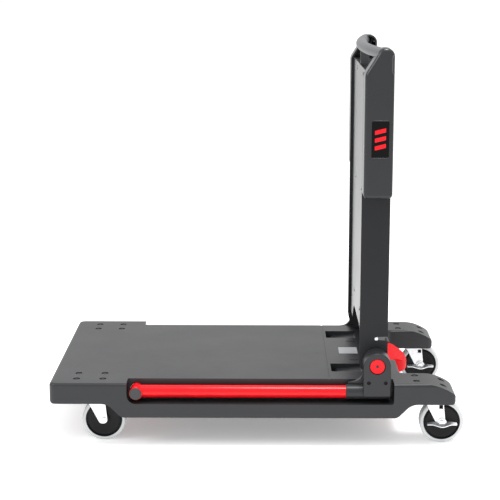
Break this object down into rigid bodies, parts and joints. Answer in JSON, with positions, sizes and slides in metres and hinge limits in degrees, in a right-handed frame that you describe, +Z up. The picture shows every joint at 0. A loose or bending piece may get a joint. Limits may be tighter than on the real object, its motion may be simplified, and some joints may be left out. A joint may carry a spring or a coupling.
{
  "type": "folding platform cart",
  "caption": "Four-wheel folding platform cart: moulded deck on swivel casters, wide two-sided upright with a hand grip that folds flat on the deck, hub buttons and a foot pedal.",
  "frame": {"origin": "on the floor under the middle of the cart's bounding box", "axes": "+X to the handle end, +Y to the right-hand side as seen from the handle's front, +Z up"},
  "size_m": [0.9424, 0.578, 0.899],
  "materials": {
    "deck_plastic": "moulded, fine grain",
    "bracket_plastic": "moulded, fine grain",
    "upright_plastic": "moulded, fine grain",
    "panel_plastic": "smooth, semi-gloss",
    "grip_plastic": "satin grip",
    "red_paint": "gloss powder coat",
    "red_plastic": "semi-gloss",
    "badge_plastic": "gloss black",
    "dark_plastic": "moulded",
    "plate_plastic": "moulded",
    "pin_steel": "bright plated",
    "bolt_steel": "dark plated",
    "spring_steel": "drawn wire",
    "zinc": "bright zinc",
    "tyre_rubber": "grey non-marking rubber",
    "wheel_plastic": "moulded core"
  },
  "bodies": {
    "deck": {"side_sill_left": "deck_plastic", "side_sill_right": "deck_plastic", "deck_platform": "deck_plastic", "cross_tube": "red_paint", "tube_end_plugs": "dark_plastic", "strike_plate": "plate_plastic", "pedal_axle": "pin_steel", "pedal_spring": "spring_steel", "bracket_screws": "pin_steel", "bracket_anchor_bolts": "pin_steel", "side_tube_left": "red_paint", "side_tube_right": "red_paint", "hinge_bracket_left": "bracket_plastic", "hinge_bracket_right": "bracket_plastic", "hinge_pin_left": "pin_steel", "hinge_pin_right": "pin_steel", "button_spring_left": "spring_steel", "button_spring_right": "spring_steel", "caster_bolts": "bolt_steel", "caster_nuts": "bolt_steel", "king_pins": "pin_steel", "caster_plate_front_left": "zinc", "caster_plate_front_right": "zinc", "caster_plate_rear_left": "zinc", "caster_plate_rear_right": "zinc"},
    "upright": {"upright_post_left": "upright_plastic", "upright_post_right": "upright_plastic", "crossbars": "upright_plastic", "front_panel": "panel_plastic", "rear_panel": "upright_plastic", "side_shell_left": "upright_plastic", "side_shell_right": "upright_plastic", "handle_grip": "grip_plastic", "shell_badges": "badge_plastic", "badge_inlays": "red_plastic", "panel_screws": "pin_steel", "latch_springs": "spring_steel"},
    "latch": {"latch_rod": "pin_steel"},
    "button_left": {"hub_button_left": "red_plastic"},
    "button_right": {"hub_button_right": "red_plastic"},
    "pedal": {"foot_pedal": "red_plastic"},
    "fork_front_left": {"fork_front_left": "zinc", "wheel_axle_front_left": "pin_steel"},
    "wheel_front_left": {"wheel_core_front_left": "wheel_plastic", "tyre_front_left": "tyre_rubber"},
    "fork_front_right": {"fork_front_right": "zinc", "wheel_axle_front_right": "pin_steel"},
    "wheel_front_right": {"wheel_core_front_right": "wheel_plastic", "tyre_front_right": "tyre_rubber"},
    "fork_rear_left": {"fork_rear_left": "zinc", "wheel_axle_rear_left": "pin_steel"},
    "wheel_rear_left": {"wheel_core_rear_left": "wheel_plastic", "tyre_rear_left": "tyre_rubber"},
    "brake_rear_left": {"brake_lever_rear_left": "zinc"},
    "fork_rear_right": {"fork_rear_right": "zinc", "wheel_axle_rear_right": "pin_steel"},
    "wheel_rear_right": {"wheel_core_rear_right": "wheel_plastic", "tyre_rear_right": "tyre_rubber"},
    "brake_rear_right": {"brake_lever_rear_right": "zinc"}
  },
  "joints": [
    {"name": "upright_fold", "type": "hinge", "parent": "deck", "child": "upright", "pos_m": [0.27035, 0, 0.188], "axis": [0, -1, 0], "range_deg": [0, 90]},
    {"name": "latch_slide", "type": "slide", "parent": "upright", "child": "latch", "axis": [1, 0, 0], "range_m": [0, 0.012], "stiffness_N_per_m": 500, "springref_m": -0.006},
    {"name": "button_left_press", "type": "slide", "parent": "deck", "child": "button_left", "axis": [0, 1, 0], "range_m": [0, 0.004], "stiffness_N_per_m": 600, "springref_m": -0.002},
    {"name": "button_right_press", "type": "slide", "parent": "deck", "child": "button_right", "axis": [0, -1, 0], "range_m": [0, 0.004], "stiffness_N_per_m": 600, "springref_m": -0.002},
    {"name": "pedal_press", "type": "hinge", "parent": "deck", "child": "pedal", "pos_m": [0.30675, 0, 0.136], "axis": [0, 1, 0], "range_deg": [0, 15], "stiffness_Nm_per_rad": 3, "springref_deg": -8.59},
    {"name": "swivel_front_left", "type": "hinge", "parent": "deck", "child": "fork_front_left", "pos_m": [-0.38225, -0.226, 0.11], "axis": [0, 0, 1], "continuous": true},
    {"name": "wheel_spin_front_left", "type": "hinge", "parent": "fork_front_left", "child": "wheel_front_left", "pos_m": [-0.35225, -0.226, 0.05], "axis": [0, 1, 0], "continuous": true},
    {"name": "swivel_front_right", "type": "hinge", "parent": "deck", "child": "fork_front_right", "pos_m": [-0.38225, 0.226, 0.11], "axis": [0, 0, 1], "continuous": true},
    {"name": "wheel_spin_front_right", "type": "hinge", "parent": "fork_front_right", "child": "wheel_front_right", "pos_m": [-0.35225, 0.226, 0.05], "axis": [0, 1, 0], "continuous": true},
    {"name": "swivel_rear_left", "type": "hinge", "parent": "deck", "child": "fork_rear_left", "pos_m": [0.39125, -0.238, 0.11], "axis": [0, 0, 1], "continuous": true},
    {"name": "wheel_spin_rear_left", "type": "hinge", "parent": "fork_rear_left", "child": "wheel_rear_left", "pos_m": [0.42125, -0.238, 0.05], "axis": [0, 1, 0], "continuous": true},
    {"name": "brake_press_rear_left", "type": "hinge", "parent": "fork_rear_left", "child": "brake_rear_left", "pos_m": [0.42125, -0.238, 0.05], "axis": [0, 1, 0], "range_deg": [0, 18]},
    {"name": "swivel_rear_right", "type": "hinge", "parent": "deck", "child": "fork_rear_right", "pos_m": [0.39125, 0.238, 0.11], "axis": [0, 0, 1], "continuous": true},
    {"name": "wheel_spin_rear_right", "type": "hinge", "parent": "fork_rear_right", "child": "wheel_rear_right", "pos_m": [0.42125, 0.238, 0.05], "axis": [0, 1, 0], "continuous": true},
    {"name": "brake_press_rear_right", "type": "hinge", "parent": "fork_rear_right", "child": "brake_rear_right", "pos_m": [0.42125, 0.238, 0.05], "axis": [0, 1, 0], "range_deg": [0, 18]}
  ]
}
